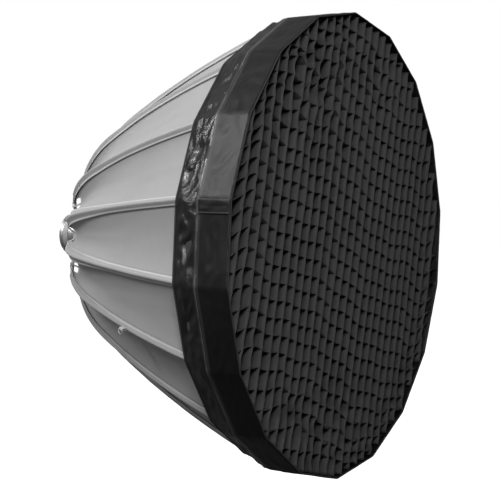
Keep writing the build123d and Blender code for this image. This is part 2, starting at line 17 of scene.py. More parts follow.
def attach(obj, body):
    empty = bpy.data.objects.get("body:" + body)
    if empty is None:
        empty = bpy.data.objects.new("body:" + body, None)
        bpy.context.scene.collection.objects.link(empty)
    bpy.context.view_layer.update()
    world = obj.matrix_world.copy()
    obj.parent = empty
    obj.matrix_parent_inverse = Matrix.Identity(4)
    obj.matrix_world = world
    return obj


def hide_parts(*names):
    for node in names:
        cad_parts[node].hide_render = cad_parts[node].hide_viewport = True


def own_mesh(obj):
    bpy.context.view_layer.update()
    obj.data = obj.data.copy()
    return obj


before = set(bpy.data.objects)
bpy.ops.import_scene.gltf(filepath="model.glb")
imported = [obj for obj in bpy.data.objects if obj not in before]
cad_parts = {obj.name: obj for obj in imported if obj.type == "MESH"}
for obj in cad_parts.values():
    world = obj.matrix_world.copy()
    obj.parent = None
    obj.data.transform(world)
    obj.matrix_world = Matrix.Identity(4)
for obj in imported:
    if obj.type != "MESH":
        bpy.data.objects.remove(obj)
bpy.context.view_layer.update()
LOG = logging.getLogger("reflector")

SIDES = 18
STEP = 2 * pi / SIDES
CLOCKING = radians(2.0)
HALF = cos(STEP / 2)
FLOOR_HEIGHT = -1.25

Nodes = bpy.types.Nodes
Links = bpy.types.NodeLinks
Socket = bpy.types.NodeSocket


def clamp(value: float, low: float = 0.0, high: float = 1.0) -> float:
    """Returns the value held between two limits."""
    return max(low, min(high, value))


def ease(low: float, high: float, value: float) -> float:
    """Returns a smooth rise from 0 at low to 1 at high."""
    t = clamp((value - low) / (high - low))
    return t * t * (3 - 2 * t)


def around(x: float, radius: float, angle: float) -> Vector:
    """Returns the point at a depth, a radius and an angle from +Z towards +Y."""
    return Vector((x, radius * sin(angle), radius * cos(angle)))


def ripple(x: float, y: float, z: float) -> float:
    """Returns smooth noise between about -1 and 1 that is the same on every run."""
    return noise.noise(Vector((x, y, z)))


class Grain(Enum):
    """The fine surface detail that a finish carries."""

    WOVEN = "woven"
    RIBBED = "ribbed"
    PILE = "pile"
    CAST = "cast"
    TURNED = "turned"
    MOULDED = "moulded"


@dataclass(frozen=True)
class Finish:
    """One material, with its colour, gloss and surface detail.

    Attributes:
        name: Material name.
        colour: Linear base colour.
        rough: Mean roughness.
        grain: Fine detail of the surface.
        metallic: Share of metal.
        sheen: Cloth sheen weight.
        coat: Clear coat weight.
        spread: Share that the colour varies by.
        crinkle: Height of soft creases, in metres.
        crinkle_size: Creases to a metre.
        thread: Colour where the trim attribute is 1.
        on_cloth: True where the grain follows the piece's UV map.
        shine: Specular level.
    """

    name: str
    colour: tuple[float, float, float]
    rough: float
    grain: Grain
    metallic: float = 0.0
    sheen: float = 0.0
    coat: float = 0.0
    spread: float = 0.18
    crinkle: float = 0.0
    crinkle_size: float = 9.0
    thread: tuple[float, float, float] | None = None
    on_cloth: bool = True
    shine: float = 0.5

    def build(self) -> bpy.types.Material:
        """Makes the node material, once.

        Returns:
            The material.
        """
        made = bpy.data.materials.get(self.name)
        if made is not None:
            return made
        made = bpy.data.materials.new(self.name)
        made.use_nodes = True
        nodes, links = made.node_tree.nodes, made.node_tree.links
        shader = nodes["Principled BSDF"]
        shader.inputs["Metallic"].default_value = self.metallic
        shader.inputs["Specular IOR Level"].default_value = self.shine
        shader.inputs["Sheen Weight"].default_value = self.sheen
        shader.inputs["Sheen Roughness"].default_value = 0.4
        shader.inputs["Coat Weight"].default_value = self.coat
        shader.inputs["Coat Roughness"].default_value = 0.25
        place = nodes.new("ShaderNodeTexCoord")
        solid = place.outputs["Object"]
        flat = place.outputs["UV"] if self.on_cloth else solid
        broad = self._noise(nodes, links, solid, 6.0, 4.0)
        fine = self._noise(nodes, links, solid, 70.0, 3.0)
        links.new(self._colour(nodes, links, broad, fine, flat), shader.inputs["Base Color"])
        rough = self._range(nodes, links, broad, self.rough * 0.8, self.rough * 1.2)
        links.new(rough, shader.inputs["Roughness"])
        links.new(self._relief(nodes, links, solid, flat), shader.inputs["Normal"])
        return made

    @staticmethod
    def _noise(nodes: Nodes, links: Links, source: Socket, scale: float, detail: float) -> Socket:
        """Adds a noise texture and returns its value socket.

        Args:
            nodes: Node list of the material.
            links: Link list of the material.
            source: Socket that feeds the node.
            scale: Repeats to a metre.
            detail: Octaves of detail.

        Returns:
            The new node's output.
        """
        node = nodes.new("ShaderNodeTexNoise")
        node.inputs["Scale"].default_value = scale
        node.inputs["Detail"].default_value = detail
        links.new(source, node.inputs["Vector"])
        return node.outputs["Fac"]

    @staticmethod
    def _range(nodes: Nodes, links: Links, source: Socket, low: float, high: float) -> Socket:
        """Adds a map of noise onto a range and returns its socket.

        Args:
            nodes: Node list of the material.
            links: Link list of the material.
            source: Socket that feeds the node.
            low: Lower limit.
            high: Upper limit.

        Returns:
            The new node's output.
        """
        node = nodes.new("ShaderNodeMapRange")
        node.inputs["From Min"].default_value = 0.3
        node.inputs["From Max"].default_value = 0.7
        node.inputs["To Min"].default_value = low
        node.inputs["To Max"].default_value = high
        links.new(source, node.inputs["Value"])
        return node.outputs["Result"]

    @staticmethod
    def _math(nodes: Nodes, links: Links, kind: str, first: Socket | float, second: Socket | float) -> Socket:
        """Adds a math node of two values or sockets and returns its socket.

        Args:
            nodes: Node list of the material.
            links: Link list of the material.
            kind: Operation.
            first: First value.
            second: Second value.

        Returns:
            The new node's output.
        """
        node = nodes.new("ShaderNodeMath")
        node.operation = kind
        for socket, value in zip(node.inputs, (first, second)):
            if isinstance(value, (int, float)):
                socket.default_value = value
            else:
                links.new(value, socket)
        return node.outputs[0]

    def _wave(
        self, nodes: Nodes, links: Links, source: Socket, axis: str, scale: float, distort: float = 0.0
    ) -> Socket:
        """Adds a band texture along one axis and returns its value socket.

        Args:
            nodes: Node list of the material.
            links: Link list of the material.
            source: Socket that feeds the node.
            axis: Axis that the bands cross.
            scale: Repeats to a metre.
            distort: Waviness of the bands.

        Returns:
            The new node's output.
        """
        node = nodes.new("ShaderNodeTexWave")
        node.bands_direction = axis
        node.inputs["Scale"].default_value = scale
        node.inputs["Distortion"].default_value = distort
        node.inputs["Detail"].default_value = 1.0
        links.new(source, node.inputs["Vector"])
        return node.outputs["Fac"]

    def _mix(
        self, nodes: Nodes, links: Links, share: Socket, first: Socket | tuple, second: Socket | tuple
    ) -> Socket:
        """Adds a colour mix and returns its colour socket.

        Args:
            nodes: Node list of the material.
            links: Link list of the material.
            share: Share from 0 to 1.
            first: First value.
            second: Second value.

        Returns:
            The new node's output.
        """
        node = nodes.new("ShaderNodeMix")
        node.data_type = "RGBA"
        links.new(share, node.inputs["Factor"])
        for socket, value in ((node.inputs[6], first), (node.inputs[7], second)):
            if isinstance(value, tuple):
                socket.default_value = (*value, 1.0)
            else:
                links.new(value, socket)
        return node.outputs[2]

    def _colour(self, nodes: Nodes, links: Links, broad: Socket, fine: Socket, flat: Socket) -> Socket:
        """Builds the varied colour, with thread where the trim attribute says.

        Args:
            nodes: Node list of the material.
            links: Link list of the material.
            broad: Broad noise.
            fine: Fine noise.
            flat: Coordinates along the cloth.

        Returns:
            The new node's output.
        """
        dark = tuple(c * (1 - self.spread) for c in self.colour)
        light = tuple(min(1.0, c * (1 + self.spread)) for c in self.colour)
        blend = self._math(nodes, links, "ADD", self._math(nodes, links, "MULTIPLY", broad, 0.65),
                           self._math(nodes, links, "MULTIPLY", fine, 0.35))
        colour = self._mix(nodes, links, self._range(nodes, links, blend, 0.0, 1.0), dark, light)
        if self.thread is not None:
            trim = nodes.new("ShaderNodeAttribute")
            trim.attribute_name = "trim"
            dashes = self._range(nodes, links, self._wave(nodes, links, flat, "Y", 95.0), 0.35, 1.0)
            share = self._math(nodes, links, "MULTIPLY", trim.outputs["Fac"], dashes)
            colour = self._mix(nodes, links, share, colour, self.thread)
        return colour

    def _relief(self, nodes: Nodes, links: Links, solid: Socket, flat: Socket) -> Socket:
        """Builds the bump: fine grain first, soft creases on top.

        Args:
            nodes: Node list of the material.
            links: Link list of the material.
            solid: Object coordinates.
            flat: Coordinates along the cloth.

        Returns:
            The new node's output.
        """
        if self.grain is Grain.WOVEN:
            height = self._math(nodes, links, "MULTIPLY", self._wave(nodes, links, flat, "X", 260.0),
                                self._wave(nodes, links, flat, "Y", 260.0))
            depth = 0.00025
        elif self.grain is Grain.RIBBED:
            height, depth = self._wave(nodes, links, flat, "Y", 160.0), 0.0005
        elif self.grain is Grain.PILE:
            height, depth = self._noise(nodes, links, solid, 900.0, 2.0), 0.0010
        elif self.grain is Grain.CAST:
            height, depth = self._noise(nodes, links, solid, 420.0, 3.0), 0.0002
        elif self.grain is Grain.TURNED:
            height, depth = self._wave(nodes, links, solid, "X", 330.0, 0.6), 0.0002
        else:
            height, depth = self._noise(nodes, links, solid, 600.0, 2.0), 0.00012
        grain = nodes.new("ShaderNodeBump")
        grain.inputs["Strength"].default_value = 0.6
        grain.inputs["Distance"].default_value = depth
        links.new(height, grain.inputs["Height"])
        if self.crinkle == 0.0:
            return grain.outputs["Normal"]
        crease = nodes.new("ShaderNodeTexNoise")
        crease.inputs["Scale"].default_value = self.crinkle_size
        crease.inputs["Detail"].default_value = 2.0
        crease.inputs["Roughness"].default_value = 0.55
        crease.inputs["Distortion"].default_value = 0.3
        links.new(solid, crease.inputs["Vector"])
        soft = nodes.new("ShaderNodeBump")
        soft.inputs["Strength"].default_value = 1.0
        soft.inputs["Distance"].default_value = self.crinkle
        links.new(crease.outputs["Fac"], soft.inputs["Height"])
        links.new(grain.outputs["Normal"], soft.inputs["Normal"])
        return soft.outputs["Normal"]


REFLECTOR = Finish("reflector_cloth", (0.205, 0.205, 0.205), 0.62, Grain.WOVEN, sheen=0.15, spread=0.05,
                   crinkle=0.002, crinkle_size=7.0, thread=(0.40, 0.40, 0.40))
SLEEVE = Finish("sleeve_cloth", (0.19, 0.19, 0.19), 0.66, Grain.WOVEN, sheen=0.15, spread=0.05,
                crinkle=0.001, crinkle_size=14.0, thread=(0.45, 0.45, 0.45))
LINING = Finish("lining_foil", (0.075, 0.075, 0.078), 0.38, Grain.WOVEN, metallic=0.6, spread=0.12,
                crinkle=0.003, crinkle_size=10.0)
ELASTIC = Finish("elastic_tape", (0.26, 0.26, 0.26), 0.7, Grain.RIBBED, sheen=0.3, spread=0.1)
NYLON_REAR = Finish("coated_nylon_creased", (0.004, 0.004, 0.0044), 0.18, Grain.WOVEN, spread=0.3,
                    crinkle=0.010, crinkle_size=13.0, shine=1.0, thread=(0.10, 0.10, 0.10))
NYLON_FRONT = Finish("coated_nylon_smooth", (0.005, 0.005, 0.0054), 0.34, Grain.WOVEN, spread=0.3,
                     crinkle=0.010, crinkle_size=6.0, thread=(0.05, 0.05, 0.05), shine=0.28)
BINDING = Finish("binding_tape", (0.008, 0.008, 0.008), 0.6, Grain.RIBBED, sheen=0.2, spread=0.2)
HOOK_TAPE = Finish("hook_tape", (0.012, 0.012, 0.012), 0.9, Grain.PILE, sheen=0.4)
CRATE = Finish("crate_cloth", (0.030, 0.030, 0.0315), 0.6, Grain.WOVEN, spread=0.2,
               crinkle=0.002, crinkle_size=16.0, shine=0.15)
HUB_PAINT = Finish("hub_paint", (0.22, 0.22, 0.22), 0.55, Grain.CAST, spread=0.08, on_cloth=False)
BARREL = Finish("barrel_metal", (0.20, 0.20, 0.20), 0.55, Grain.TURNED, shine=0.2, spread=0.2, on_cloth=False)
RUBBER = Finish("liner_rubber", (0.05, 0.05, 0.05), 0.75, Grain.MOULDED, spread=0.15, on_cloth=False)
STEEL = Finish("dull_steel", (0.24, 0.24, 0.24), 0.5, Grain.TURNED, metallic=0.3, spread=0.1, on_cloth=False)
RIB_PAINT = Finish("rib_paint", (0.27, 0.27, 0.27), 0.4, Grain.MOULDED, coat=0.2, spread=0.08, on_cloth=False)
FITTING = Finish("fitting_plastic", (0.24, 0.24, 0.24), 0.5, Grain.MOULDED, spread=0.1, on_cloth=False)


@dataclass
class Cloth:
    """A sheet or tube of cloth made from a grid whose corners are moved into place.

    Attributes:
        name: Object name.
        columns: Grid steps across.
        rows: Grid steps along.
        size: Flat width and length, in metres, which set the UV map.
        place: Gives the point for the shares across and along.
        thickness: Cloth thickness, laid inwards.
        finish: Finish of the outside.
        lining: Finish of the inside, where it differs.
        trim: Gives the thread share for the shares across and along.
        closed: True where the far edge across meets the near one.
        flip: True where the grid comes out facing inwards.
        rim: True where the cloth's cut edges are closed.
    """

    name: str
    columns: int
    rows: int
    size: tuple[float, float]
    place: Callable[[float, float], Vector]
    thickness: float
    finish: Finish
    lining: Finish | None = None
    trim: Callable[[float, float], float] | None = None
    closed: bool = False
    flip: bool = False
    rim: bool = True

    def add_to(self, mesh: bmesh.types.BMesh) -> None:
        """Adds this cloth's grid to a bmesh.

        Args:
            mesh: The bmesh to add to.
        """
        uv = mesh.loops.layers.uv.verify()
        trim = mesh.verts.layers.float.get("trim") or mesh.verts.layers.float.new("trim")
        made = bmesh.ops.create_grid(mesh, x_segments=self.columns, y_segments=self.rows, size=0.5)["verts"]
        shares = {v: (v.co.x + 0.5, v.co.y + 0.5) for v in made}
        for face in {f for v in made for f in v.link_faces}:
            face.smooth = True
            for loop in face.loops:
                across, along = shares[loop.vert]
                loop[uv].uv = (across * self.size[0], along * self.size[1])
        for vert, (across, along) in shares.items():
            vert.co = self.place(across, along)
            vert[trim] = self.trim(across, along) if self.trim else 0.0
        if self.flip:
            bmesh.ops.reverse_faces(mesh, faces=list({f for v in made for f in v.link_faces}))
        if self.closed:
            bmesh.ops.remove_doubles(mesh, verts=made, dist=1e-6)

    def build(self, more: list["Cloth"] | None = None) -> bpy.types.Object:
        """Builds the object.

        Args:
            more: Other cloths of the same kind that belong to the same object.

        Returns:
            The finished object at the origin.
        """
        mesh = bmesh.new()
        for cloth in [self, *(more or [])]:
            cloth.add_to(mesh)
        data = bpy.data.meshes.new(self.name)
        mesh.to_mesh(data)
        mesh.free()
        made = bpy.data.objects.new(self.name, data)
        bpy.context.scene.collection.objects.link(made)
        data.materials.append(self.finish.build())
        if self.lining is not None:
            data.materials.append(self.lining.build())
        if self.thickness > 0:
            wall = made.modifiers.new("wall", "SOLIDIFY")
            wall.thickness = self.thickness
            wall.offset = -1.0
            wall.use_even_offset = False
            wall.material_offset = 1 if self.lining is not None else 0
            wall.use_rim = self.rim
        return made


@dataclass(frozen=True)
class RibLine:
    """The bent centre line that every rib follows from its hinge.

    Attributes:
        start: Depth and radius of the hinge.
        lead: Straight stretch after the hinge.
        lean: Lean of that stretch from the axis.
        bends: Radius and turn of each arc.
    """

    start: tuple[float, float] = (0.077, 0.070)
    lead: float = 0.032
    lean: float = radians(74.0)
    bends: tuple[tuple[float, float], ...] = (
        (0.281, radians(11.45)),
        (0.482, radians(30.96)),
        (2.757, radians(11.55)),
    )

    def at(self, distance: float) -> tuple[float, float, float]:
        """Returns depth, radius and lean at a distance along the line.

        Args:
            distance: Distance along the line.

        Returns:
            The three values in that order.
        """
        x, r = self.start
        step = min(distance, self.lead)
        x, r, lean = x + step * cos(self.lean), r + step * sin(self.lean), self.lean
        left = distance - step
        for bend, turn in self.bends:
            if left <= 0:
                break
            angle = min(left / bend, turn)
            x += bend * (sin(lean) - sin(lean - angle))
            r += bend * (cos(lean - angle) - cos(lean))
            lean -= angle
            left -= bend * angle
        return x + left * cos(lean), r + left * sin(lean), lean

    def distance_at(self, depth: float) -> float:
        """Returns the distance along the line at which it reaches a depth.

        Args:
            depth: Depth along the axis.

        Returns:
            The value.
        """
        low, high = 0.0, 1.2
        for _ in range(40):
            middle = (low + high) / 2
            low, high = (middle, high) if self.at(middle)[0] < depth else (low, middle)
        return low


@dataclass
class ReflectorCloth:
    """The reflector's gores, rib sleeves and hem ties, one set riding on each rib.

    Attributes:
        line: Centre line of a rib.
        sleeve_start: Depth at which a sleeve begins.
        hem: Depth of the hem halfway between two ribs.
        front: Depth of the front edge.
        rear_radius: Corner radius of the cloth at the flat shell's rear edge.
        front_radius: Corner radius at the front edge.
        shell_rear: Depth of that rear edge.
        keep: Share of its width a gore would keep if the ribs folded; not used.
        sleeve_end: Depth at which a sleeve ends.
        sleeve_base: Height of a sleeve's flat part over the rib's line.
        crown_height: Height of the crown over that line.
        crown_width: Half width of the crown.
    """

    line: RibLine = field(default_factory=RibLine)
    sleeve_start: float = 0.146
    hem: float = 0.191
    front: float = 0.797
    rear_radius: float = 0.249
    front_radius: float = 0.579
    shell_rear: float = 0.197
    keep: float = 0.36
    sleeve_end: float = 0.774
    sleeve_base: float = -0.0040
    crown_height: float = 0.0096
    crown_width: float = 0.0078

    def half_sleeve(self, depth: float) -> float:
        """Returns half a sleeve's width at a depth."""
        return 0.0115 + 0.0085 * (1 - ease(0.14, 0.45, depth))

    def trough(self, depth: float) -> float:
        """Returns the cloth's radius halfway between two ribs at a depth.

        Args:
            depth: Depth along the axis.

        Returns:
            The value.
        """
        share = (depth - self.shell_rear) / (self.front - self.shell_rear)
        squared = self.rear_radius**2 + (self.front_radius**2 - self.rear_radius**2) * share
        return sqrt(squared) * HALF - 0.002

    def surface(self, depth: float, turn: float, angle: float) -> Vector:
        """Returns a point of a gore's outside.

        Args:
            depth: Depth along the axis.
            turn: Angle from the rib.
            angle: Angle round the axis.
        """
        _, rib, lean = self.line.at(self.line.distance_at(depth))
        crest = rib - 0.0042 / cos(lean)
        chord = crest * HALF / cos(STEP / 2 - abs(turn))
        sleeve = self.half_sleeve(depth) * 0.9 / rib
        share = clamp((abs(turn) - sleeve) / (STEP / 2 - sleeve))
        fall = 1 - (1 - share) ** 2.2
        radius = chord - (crest * HALF - self.trough(depth)) * fall
        wave = ripple(depth * 9, sin(angle) * 14, cos(angle) * 14) * 0.0016
        pucker = ripple(depth * 25, sin(angle) * 60, cos(angle) * 60) * 0.0015 * (1 - ease(0.19, 0.30, depth))
        return around(depth, radius + (wave + pucker) * share, angle)

    def gore(self, rib: int) -> Cloth:
        """Describes the cloth from mid-gore to mid-gore across one rib.

        Args:
            rib: Rib number, from 0.

        Returns:
            The cloth.
        """
        centre = CLOCKING + rib * STEP

        def place(across: float, along: float) -> Vector:
            """Places one corner of the gore.

            Args:
                across: Share across the cloth.
                along: Share along the cloth.

            Returns:
                The point.
            """
            turn = (across - 0.5) * STEP
            rear = 0.152 + (self.hem - 0.152) * ease(0.42, 0.62, abs(across - 0.5) * 2)
            depth = rear + (self.front - rear) * along**1.25
            return self.surface(depth, turn, centre + turn)

        def trim(across: float, along: float) -> float:
            """Marks the row of thread along the rear hem."""
            return 1.0 if 0.01 < along < 0.03 else 0.0

        name = f"gore_{rib + 1:02d}"
        return Cloth(name, 32, 48, (0.20, 0.76), place, 0.0009, REFLECTOR, LINING, trim, flip=True, rim=False)

    def sleeve(self, rib: int) -> Cloth:
        """Describes the closed sleeve round one rib.

        Args:
            rib: Rib number, from 0.

        Returns:
            The cloth.
        """
        centre = CLOCKING + rib * STEP
        side = Vector((0, cos(centre), -sin(centre)))
        first, last = self.line.distance_at(self.sleeve_start), self.line.distance_at(self.sleeve_end)

        def place(across: float, along: float) -> Vector:
            """Places one corner of the sleeve.

            Args:
                across: Share across the cloth.
                along: Share along the cloth.

            Returns:
                The point.
            """
            distance = first + (last - first) * along
            x, r, lean = self.line.at(distance)
            turn = 2 * pi * across
            width = self.half_sleeve(x)
            out = width * cos(turn)
            piping = 0.0005 * exp(-(((abs(out) - width * 0.84) / 0.0016) ** 2))
            crown = self.crown_height * exp(-((out / self.crown_width) ** 2)) + piping
            height = self.sleeve_base
            if sin(turn) > 0:
                height += (crown + 0.0006) * min(1.0, sin(turn) * 4)
            height += ripple(x * 22, out * 90, rib * 3.1) * 0.0005
            normal = Vector((-sin(lean), cos(lean) * sin(centre), cos(lean) * cos(centre)))
            return around(x, r, centre) + side * out + normal * height

        def trim(across: float, along: float) -> float:
            """Marks the piping along both edges."""
            out = abs(cos(2 * pi * across))
            return exp(-(((out - 0.84) / 0.10) ** 2)) if sin(2 * pi * across) > 0 else 0.0

        name = f"sleeve_{rib + 1:02d}"
        return Cloth(name, 48, 64, (0.09, 0.80), place, 0.0006, SLEEVE, None, trim, closed=True, flip=True)

    def tie(self, rib: int, hand: int) -> Cloth:
        """Describes one elastic tie from the rib's hook to the hem beside it.

        Args:
            rib: Rib number, from 0.
            hand: 1 or -1 for the side of the rib.

        Returns:
            The cloth.
        """
        centre = CLOCKING + rib * STEP
        side = Vector((0, cos(centre), -sin(centre)))
        start = around(0.1172, 0.172, centre) + side * 0.0105 * hand
        end = self.surface(self.hem + 0.004, STEP / 2, centre + hand * STEP / 2)
        end = end - around(0, 0.002, centre + hand * STEP / 2) + side * -0.004 * hand
        along_tie = (end - start).normalized()
        wide = along_tie.cross(Vector((1, 0, 0))).normalized()

        def place(across: float, along: float) -> Vector:
            """Places one corner of the tie.

            Args:
                across: Share across the cloth.
                along: Share along the cloth.

            Returns:
                The point.
            """
            narrow = 0.003 * (1 - 0.25 * sin(pi * along))
            sag = Vector((0, 0, -0.0015)) * sin(pi * along)
            return start + (end - start) * along + wide * (across - 0.5) * 2 * narrow + sag

        return Cloth(f"hem_tie_{rib + 1:02d}", 4, 16, (0.006, 0.11), place, 0.0011, ELASTIC)

    def build(self) -> None:
        """Builds all gores, sleeves and ties."""
        for rib in range(SIDES):
            body = f"rib_{rib + 1:02d}"
            gore = self.gore(rib).build()
            sleeve = self.sleeve(rib).build()
            ties = self.tie(rib, 1).build([self.tie(rib, -1)])
            for piece, slot in ((gore, "reflector_fabric"), (sleeve, "reflector_fabric"), (ties, "elastic")):
                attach(piece, body)
                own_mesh(piece)
            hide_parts("canopy_shell", "canopy_lining")
            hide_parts("hem_ties")
            LOG.info("%s rides on %s", gore.name, body)


@dataclass
class Skirt:
    """The grid's cloth skirt: two bands, their bindings, the joining tape and the hook strip.

    Attributes:
        rear: Depth and corner radius of the rear edge.
        seam: Depth and corner radius where the bands meet.
        front: Depth and corner radius of the front edge.
        tape_side: Flat side that carries the joining tape.
        tape_shift: Distance of the tape from that side's middle.
    """

    rear: tuple[float, float] = (0.709, 0.566)
    seam: tuple[float, float] = (0.787, 0.598)
    front: tuple[float, float] = (0.877, 0.600)
    tape_side: int = 14
    tape_shift: float = 0.084

    def corner(self, depth: float) -> float:
        """Returns the corner radius at a depth."""
        low, high = (self.seam, self.front) if depth >= self.seam[0] else (self.rear, self.seam)
        return low[1] + (high[1] - low[1]) * (depth - low[0]) / (high[0] - low[0])

    def outline(self, radius: float, angle: float) -> float:
        """Returns the radius of the many-sided outline at an angle."""
        turn = (angle - CLOCKING) % STEP - STEP / 2
        return radius * HALF / cos(turn)

    def creased(self, depth: float, angle: float, depth_share: float, strength: float) -> Vector:
        """Returns a point of a band, with pull lines at the corners and creases between them.

        Args:
            depth: Depth along the axis.
            angle: Angle round the axis.
            depth_share: Share of the way over the band.
            strength: Strength of the creases.

        Returns:
            The point.
        """
        turn = (angle - CLOCKING) % STEP - STEP / 2
        radius = self.outline(self.corner(depth), angle)
        middle = cos(turn / STEP * pi) ** 2
        pull = sin(pi * depth_share)
        y, z = sin(angle), cos(angle)
        crease = ripple(depth * 22, y * 9, z * 9)
        fold = 1 - 2.6 * abs(ripple((depth - 0.03 * y) * 30, y * 13 + depth * 12, z * 13 - depth * 9))
        radius += strength * pull * (crease * 0.0035 + fold * 0.0052 - middle * 0.002)
        return around(depth + ripple(depth * 3, y * 7, z * 7) * 0.0012 * pull, radius, angle)

    def band(self, name: str, low: float, high: float, strength: float, finish: Finish, edge: float) -> Cloth:
        """Describes one band between two depths.

        Args:
            name: Name of the object.
            low: Lower limit.
            high: Upper limit.
            strength: Strength of the creases.
            finish: Finish of the cloth.
            edge: Share along at which the thread runs.

        Returns:
            The cloth.
        """

        def place(across: float, along: float) -> Vector:
            """Places one corner of the band."""
            return self.creased(low + (high - low) * along, across * 2 * pi, along, strength)

        def trim(across: float, along: float) -> float:
            """Marks the row of thread beside the seam."""
            return exp(-(((along - edge) / 0.022) ** 2))

        return Cloth(name, 648, 26, (3.72, high - low), place, 0.0012, finish, None, trim, closed=True)

    def loop(self, name: str, depth: float, radius: float, wide: float, thick: float) -> Cloth:
        """Describes a folded tape round an edge.

        Args:
            name: Name of the object.
            depth: Depth along the axis.
            radius: Radius from the axis.
            wide: Half width along the axis.
            thick: Half thickness.

        Returns:
            The cloth.
        """

        def place(across: float, along: float) -> Vector:
            """Places one corner of the tape.

            Args:
                across: Share across the cloth.
                along: Share along the cloth.

            Returns:
                The point.
            """
            angle, turn = across * 2 * pi, along * 2 * pi
            wobble = 0.0006 * ripple(sin(angle) * 30, cos(angle) * 30, depth)
            edge = self.outline(radius, angle) + wobble
            return around(depth + wide * cos(turn), edge + thick * sin(turn), angle)

        return Cloth(name, 432, 12, (3.75, 0.02), place, 0.0, BINDING, None, None, closed=True, flip=True)

    def tape(self) -> Cloth:
        """Describes the tape over the front band's joining seam.

        Returns:
            The cloth.
        """
        centre = CLOCKING + (self.tape_side - 0.5) * STEP

        def place(across: float, along: float) -> Vector:
            """Places one corner of the tape.

            Args:
                across: Share across the cloth.
                along: Share along the cloth.

            Returns:
                The point.
            """
            depth = 0.789 + 0.083 * along
            angle = centre + atan2(self.tape_shift + (across - 0.5) * 0.034, 0.591)
            base = self.outline(self.corner(depth), angle) + 0.0032
            return around(depth, base + 0.0008 * ripple(depth * 40, across * 3, 1.7), angle)

        def trim(across: float, along: float) -> float:
            """Marks the thread along both edges."""
            return 1.0 if abs(abs(across - 0.5) - 0.42) < 0.04 else 0.0

        return Cloth("joining_tape_cloth", 24, 24, (0.034, 0.083), place, 0.001, NYLON_FRONT, None, trim)

    def hook_band(self) -> Cloth:
        """Describes the hook strip inside the rear band.

        Returns:
            The cloth.
        """

        def place(across: float, along: float) -> Vector:
            """Places one corner of the strip."""
            depth, angle = 0.723 + 0.050 * along, across * 2 * pi
            return around(depth, self.outline(self.corner(depth) - 0.0045, angle), angle)

        return Cloth("hook_band", 144, 4, (3.6, 0.05), place, 0.001, HOOK_TAPE, None, None, closed=True)

    def build(self) -> None:
        """Builds the skirt, hangs its pieces on the grid body and hides the CAD pieces they replace."""
        start, end = self.rear[0] - 0.001, self.seam[0] + 0.0015
        rear = self.band("skirt_rear_band", start, end, 1.0, NYLON_REAR, 0.95).build()
        front = self.band("skirt_front_band", self.seam[0] - 0.0015, 0.8735, 0.22, NYLON_FRONT, 0.06).build()
        nose = self.loop("front_edge_tape", 0.8748, 0.5985, 0.0022, 0.0018).build()
        tail = self.loop("rear_edge_tape", 0.7070, 0.5665, 0.0026, 0.0018).build()
        tape = self.tape().build()
        hooks = self.hook_band().build()
        for piece, node, slot in (
            (rear, "grid_rear_band", "skirt_nylon"),
            (front, "grid_front_band", "skirt_nylon"),
            (nose, "front_binding", "binding_tape"),
            (tail, "rear_binding", "binding_tape"),
            (tape, "joining_tape", "binding_tape"),
            (hooks, "hook_strip", "hook_tape"),
        ):
            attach(piece, "grid")
            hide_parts(node)
            LOG.info("%s replaces %s", piece.name, node)


